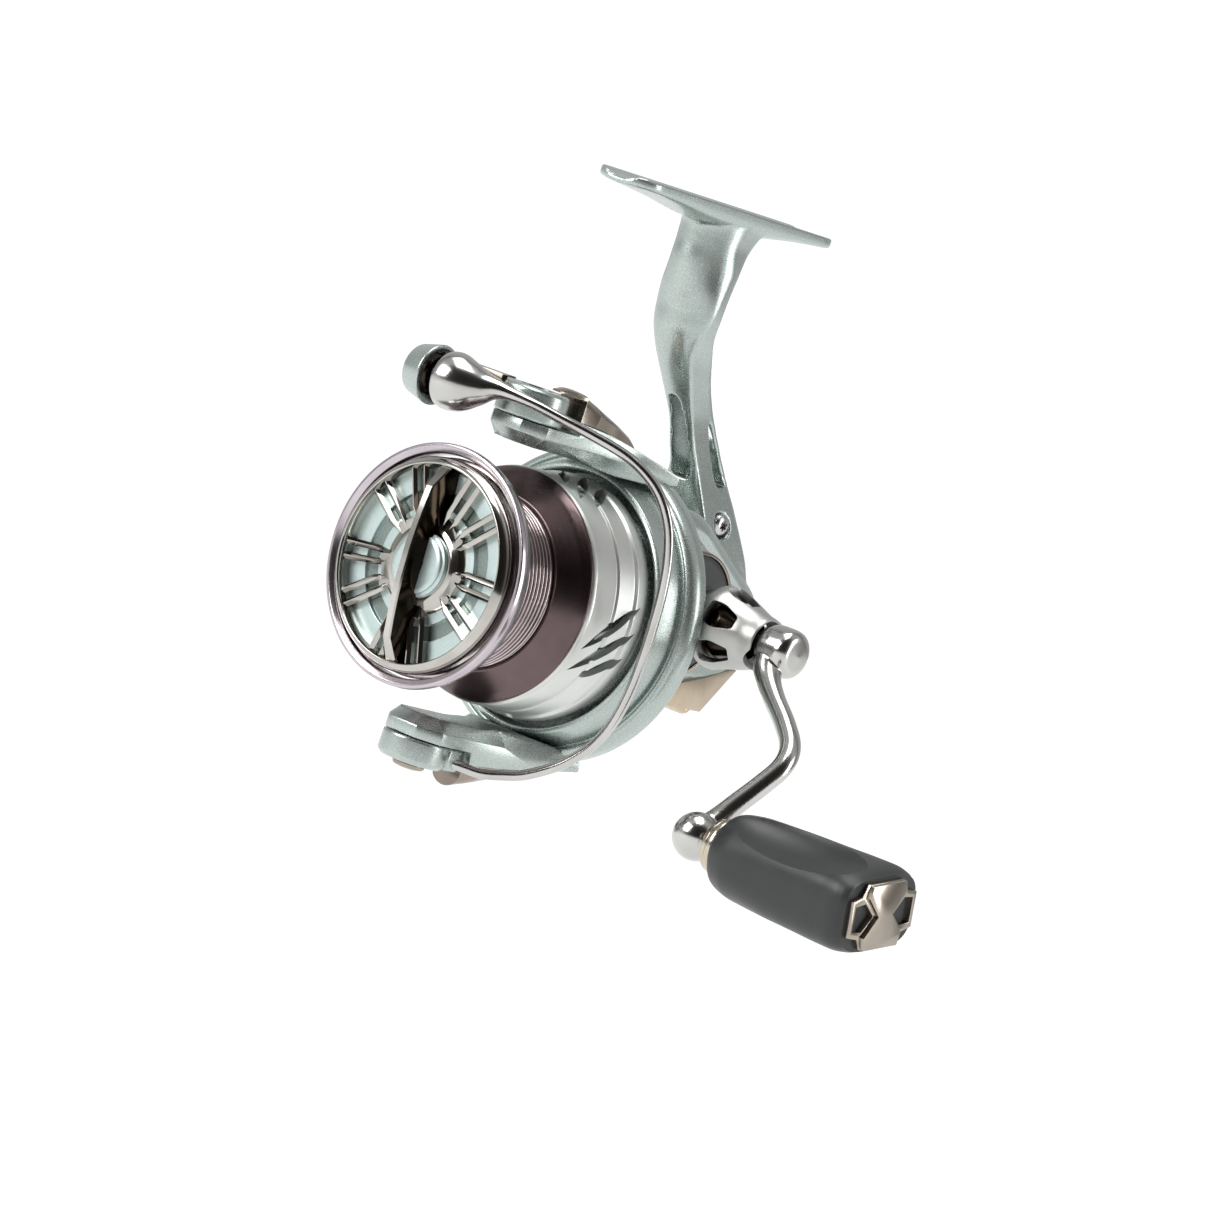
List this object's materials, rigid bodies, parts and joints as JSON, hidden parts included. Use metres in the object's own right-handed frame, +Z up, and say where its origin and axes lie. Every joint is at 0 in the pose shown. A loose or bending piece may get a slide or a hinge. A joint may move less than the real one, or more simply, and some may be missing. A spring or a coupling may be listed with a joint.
{
  "type": "spinning reel",
  "caption": "Front-drag spinning reel: foot and stem, gear case, rotor with flip-over bail, spool with skirt, folding crank with paddle knob.",
  "frame": {"origin": "middle of the foot's top, on the line where the rod seats", "axes": "+Z up out of the foot towards the rod, +Y along the rod towards its butt (the spool faces -Y), +X to the crank side"},
  "size_m": [0.1321, 0.1036, 0.1202],
  "materials": {
    "seafoam_paint": "painted, fine metallic flake under clear lacquer",
    "dark_nickel": "polished dark nickel plating",
    "polished_metal": "polished",
    "skirt_metal": "polished, turned and clear anodised",
    "spool_anodised": "purple-brown anodised, satin",
    "lip_anodised": "pale lavender anodised",
    "dark_plate": "dark satin",
    "roller_black": "hard black plating",
    "knob_rubber": "soft-touch matte",
    "ferrule_nickel": "polished, pale gold",
    "steel": "machined",
    "gear_brass": "machined",
    "inner_plastic": "moulded",
    "pale_plastic": "moulded",
    "drag_fibre": "woven fibre, matte"
  },
  "bodies": {
    "root": {"frame": "seafoam_paint", "side_cover": "seafoam_paint", "side_cover_screws": "steel", "rear_cover": "dark_nickel", "rear_cover_screw": "steel", "boss_plate": "dark_plate", "port_cap": "dark_plate", "drive_bearings": "steel", "pinion_bearing": "steel", "pinion_bush": "gear_brass", "clutch_housing": "inner_plastic", "clutch_rollers": "steel", "clutch_screws": "steel", "slider_guide": "steel", "stem_screw": "steel"},
    "handle": {"drive_gear": "gear_brass", "handle_shaft": "steel", "handle_sleeve": "dark_plate", "handle_hub": "polished_metal", "fold_pin": "steel"},
    "crank": {"crank_arm": "polished_metal", "knob_spindle": "steel"},
    "knob": {"knob_grip": "knob_rubber", "knob_end_cap": "dark_nickel", "knob_ferrule": "ferrule_nickel", "knob_bearings": "steel"},
    "osc_gear": {"oscillation_gear": "pale_plastic"},
    "rotor": {"rotor": "seafoam_paint", "pinion_gear": "gear_brass", "rotor_nut": "steel", "nut_lock": "steel", "clutch_sleeve": "steel", "arm_cover_upper": "dark_nickel", "arm_cover_lower": "dark_nickel", "arm_cover_screws": "steel", "bail_spring": "steel", "spring_guide": "steel", "bail_pivot_screws": "dark_nickel"},
    "bail": {"bail_arm": "seafoam_paint", "bail_holder": "seafoam_paint", "bail_wire": "polished_metal", "bail_cone": "polished_metal", "roller_cap": "seafoam_paint"},
    "roller": {"line_roller": "roller_black", "roller_bearing": "steel"},
    "trip": {"trip_lever": "pale_plastic"},
    "shaft": {"main_shaft": "steel", "oscillation_slider": "inner_plastic", "slider_screw": "steel", "spool_support": "pale_plastic"},
    "spool": {"spool": "spool_anodised", "spool_skirt": "skirt_metal", "lip_ring": "lip_anodised", "friction_washers": "drag_fibre", "keyed_washers": "steel", "washer_retainer": "steel"},
    "drag": {"drag_knob": "polished_metal", "drag_knob_face": "seafoam_paint", "drag_nut": "seafoam_paint", "drag_spring": "steel"}
  },
  "joints": [
    {"name": "handle_spin", "type": "hinge", "parent": "root", "child": "handle", "pos_m": [0, 0.0083, -0.07465], "axis": [1, 0, 0], "continuous": true},
    {"name": "crank_fold", "type": "hinge", "parent": "handle", "child": "crank", "pos_m": [0.0412, 0.0083, -0.07465], "axis": [0, 0.8192, -0.5736], "range_deg": [0, 30]},
    {"name": "knob_spin", "type": "hinge", "parent": "crank", "child": "knob", "pos_m": [0.0561, -0.01642, -0.10996], "axis": [1, 0, 0], "continuous": true},
    {"name": "osc_gear_spin", "type": "hinge", "parent": "root", "child": "osc_gear", "pos_m": [0, 0.0235, -0.0795], "axis": [1, 0, 0], "continuous": true},
    {"name": "rotor_spin", "type": "hinge", "parent": "root", "child": "rotor", "pos_m": [0, 0, -0.08], "axis": [0, 1, 0], "continuous": true},
    {"name": "bail_flip", "type": "hinge", "parent": "rotor", "child": "bail", "pos_m": [0, -0.033, -0.08], "axis": [0, 0, 1], "range_deg": [-80, 0]},
    {"name": "roller_spin", "type": "hinge", "parent": "bail", "child": "roller", "pos_m": [-0.014, -0.0448, -0.0467], "axis": [1, 0, 0], "continuous": true},
    {"name": "trip_slide", "type": "slide", "parent": "rotor", "child": "trip", "axis": [0, 1, 0], "range_m": [0, 0.0025], "stiffness_N_per_m": 150},
    {"name": "shaft_slide", "type": "slide", "parent": "root", "child": "shaft", "axis": [0, -1, 0], "range_m": [-0.0038, 0.008]},
    {"name": "spool_spin", "type": "hinge", "parent": "shaft", "child": "spool", "pos_m": [0, 0, -0.08], "axis": [0, 1, 0], "continuous": true},
    {"name": "drag_turn", "type": "hinge", "parent": "shaft", "child": "drag", "pos_m": [0, 0, -0.08], "axis": [0, 1, 0], "range_deg": [-360, 720]}
  ],
  "couplings": [
    {"joint": "osc_gear_spin", "follows": "handle_spin", "ratio": -0.5},
    {"joint": "rotor_spin", "follows": "handle_spin", "ratio": 5.2222}
  ]
}
